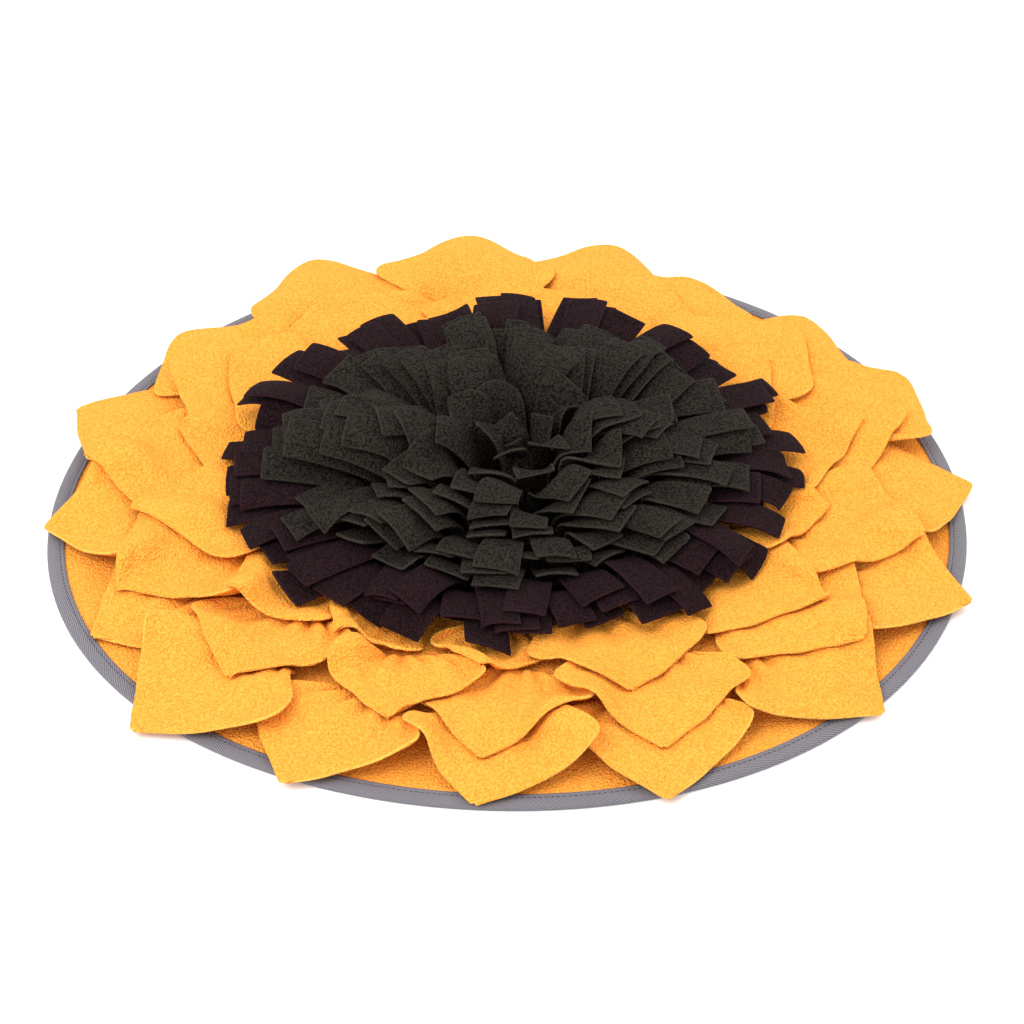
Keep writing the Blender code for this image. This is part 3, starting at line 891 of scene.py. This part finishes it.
def strip_lie(row, number, dice):
    """How one strip lies. What its stack draws, the strips above and below it draw too."""
    stack = random.Random(f"{row.colour} {row.count} {row.turn} {number}")
    form = random.Random(f"{row.name} {number} form")
    angle = row_start(row) + number * math.tau / row.count
    back = max(0.0, math.sin(angle))
    front = max(0.0, -math.sin(angle))
    sway = SWAYS[row.colour]
    share = row.reach / ROWS[0].reach
    lean = stack.uniform(-sway.lean, sway.lean) + dice.uniform(-LAYER_LEAN, LAYER_LEAN)
    further = stack.uniform(-STACK_REACH, STACK_REACH) - sway.front_in * front - sway.back_in * back
    reach = row.reach + share * further + dice.uniform(-LAYER_REACH, LAYER_REACH)
    height = row.height + share * (sway.back_rise * back - sway.front_drop * front)
    height = min(height + stack.uniform(-STACK_HEIGHT, STACK_HEIGHT), TOP_LIMIT)
    roll = stack.uniform(-STACK_ROLL, STACK_ROLL) + form.uniform(-LAYER_ROLL, LAYER_ROLL)
    lean *= min(MOST_LEAN_GROWTH, LEAN_RADIUS / row.root_radius)
    roll *= min(MOST_ROLL_GROWTH, max(1.0, ROLL_RADIUS / row.root_radius))
    return Lie(angle=angle, lean=lean, reach=reach, height=height, roll=roll,
               droop=stack.uniform(0, MOST_DROOP), cup=form.uniform(*CUPS),
               width=row.width * form.uniform(*STRIP_WIDTHS))


print("strips droop by up to", round(math.degrees(MOST_DROOP)), "degrees")

# %% Form of one strip
STRIP_TIMES = (0.0, 0.12, 0.28, 0.46, 0.64, 0.82, 0.965, 1.0)
STRIP_ACROSS = (-1.0, -0.86, 0.0, 0.86, 1.0)
BAND_HEIGHT = 0.0095
RISE_SHARE = 0.22
DROOP_SHARE = 0.40
PITCH_SHARE = 0.94
OFF_CENTRE = (0.010, -0.008, 0)


def outward(angle):
    return np.array([math.cos(angle), math.sin(angle), 0])


def row_shift(row):
    """Inner rows sit a little off the mat's centre."""
    return (1 - row.root_radius / ROWS[0].root_radius) * np.array(OFF_CENTRE)


def strip_curve(row, lie):
    """Four control points of a strip's centre line, as distances from its row's centre and heights."""
    start = np.array([row.root_radius, DISC_THICK + BAND_HEIGHT])
    tip = np.array([lie.reach, lie.height])
    chord = tip - start
    long = np.linalg.norm(chord)
    slope = math.atan2(chord[1], abs(chord[0])) - lie.droop
    falling = np.array([math.copysign(math.cos(slope), chord[0]), math.sin(slope)])
    return start, start + [0, RISE_SHARE * long], tip - DROOP_SHARE * long * falling, tip


def bezier(start, first, second, tip, t):
    """Point and direction on a cubic curve."""
    s = 1 - t
    point = s ** 3 * start + 3 * s * s * t * first + 3 * s * t * t * second + t ** 3 * tip
    along = s * s * (first - start) + 2 * s * t * (second - first) + t * t * (tip - second)
    return point, along / np.linalg.norm(along)


def strip_places(row, lie):
    """Places of a strip's underside, from its root to its square end."""
    curve = strip_curve(row, lie)
    root = row_shift(row) + row.root_radius * outward(lie.angle)
    heading = outward(lie.angle + lie.lean)
    places = np.zeros((len(STRIP_TIMES), len(STRIP_ACROSS), 3))
    for i, t in enumerate(STRIP_TIMES):
        point, along = bezier(*curve, t)
        out = outward(lie.angle + lie.lean * t)
        side = np.array([-out[1], out[0], 0])
        normal = np.array([0, 0, along[0]]) - out * along[1]
        centre = root + heading * (point[0] - row.root_radius) + [0, 0, point[1]]
        room = PITCH_SHARE * math.tau / row.count * max(point[0], row.root_radius)
        tilted = side + lie.roll * t * normal
        for j, c in enumerate(STRIP_ACROSS):
            cupped = lie.cup * t * (1 - c * c) * normal
            places[i, j] = centre + 0.5 * min(lie.width, room) * c * tilted + cupped
    return places


print("points in a strip's grid:", len(STRIP_TIMES) * len(STRIP_ACROSS))

# %% Sew the rows
STRIP_THICK = 0.0020
STRIP_CLEARANCE = 0.0008
STRIP_SOFTNESS = 0.90
BAND_STEPS = 6


def band_places(row):
    """Places of a row's sewn band, an upright ring on the disc."""
    turns = np.linspace(0, math.tau, BAND_STEPS * row.count + 1)
    feet = [row_shift(row) + row.root_radius * outward(a) for a in turns]
    heights = (DISC_THICK, DISC_THICK + BAND_HEIGHT)
    return np.array([[foot + [0, 0, height] for height in heights] for foot in feet])


def sew_circle(bm, row):
    """Add a circle's band and its strips, one after the other."""
    band = band_places(row)
    ground.cover(band)
    sewn = place_grid(bm, band, cut_edges=False)
    bmesh.ops.remove_doubles(bm, verts=list(sewn), dist=MERGE)
    dice = random.Random(row.name)
    for number in range(row.count):
        places = strip_places(row, strip_lie(row, number, dice))
        laid = drape(places, ground, STRIP_CLEARANCE, STRIP_SOFTNESS)
        ground.cover(laid)
        ground.cover(laid + STRIP_THICK * sheet_normals(laid))
        place_grid(bm, laid)


def sew_row(row):
    bm = bmesh.new()
    if row is ROWS[-1]:
        sew_circle(bm, CORE)
    sew_circle(bm, row)
    return finish_piece(bm, f"strips_{row.name}", FLEECES[row.colour],
                        [f"fringe_{row.name}"], thickness=STRIP_THICK)


strip_rows = [sew_row(row) for row in ROWS]
strip_count = sum(row.count for row in ROWS) + CORE.count
print("strips:", strip_count, "highest point in mm:", round(1000 * ground.top.max(), 1))

# %% [markdown]
# ## The base as a sheet
# The disc is the sheet of cloth that all the rest is sewn to.

print("flat area of the disc in square metres:", round(math.pi * RIM_RADIUS ** 2, 3))

# %% [markdown]
# ## Floor and light
# The mat was photographed in a white box: light comes from everywhere, a little more from above and
# the left. A bright even world and two big area lights do the same. The view transform is Standard,
# because the default one greys strong yellows.

# %% Floor and light
PALE = (0.93, 0.93, 0.93, 1)
FLOOR_HALF = 6.0
WORLD_STRENGTH = 1.45

floor_bm = bmesh.new()
bmesh.ops.create_grid(floor_bm, x_segments=1, y_segments=1, size=FLOOR_HALF)
floor_mesh = bpy.data.meshes.new("floor")
floor_bm.to_mesh(floor_mesh)
floor_bm.free()
floor = bpy.data.objects.new("floor", floor_mesh)
floor_finish = Finish("floor", roughness=0.9)
floor_finish.shader.inputs["Base Color"].default_value = PALE
floor_mesh.materials.append(floor_finish.material)
bpy.context.scene.collection.objects.link(floor)

world = bpy.data.worlds.new("studio")
world.use_nodes = True
background = world.node_tree.nodes["Background"]
background.inputs["Color"].default_value = (1, 1, 1, 1)
background.inputs["Strength"].default_value = WORLD_STRENGTH
bpy.context.scene.world = world
bpy.context.scene.view_settings.view_transform = "Standard"


def area_light(name, place, side, power):
    """A square light that faces the middle of the mat."""
    light = bpy.data.lights.new(name, "AREA")
    light.size = side
    light.energy = power
    lamp = bpy.data.objects.new(name, light)
    lamp.location = place
    lamp.rotation_euler = (-Vector(place)).to_track_quat("-Z", "Y").to_euler()
    bpy.context.scene.collection.objects.link(lamp)


area_light("key", place=(-0.9, -0.9, 1.6), side=1.2, power=26)
area_light("fill", place=(1.2, 0.5, 1.5), side=1.5, power=12)
print("lights are set")
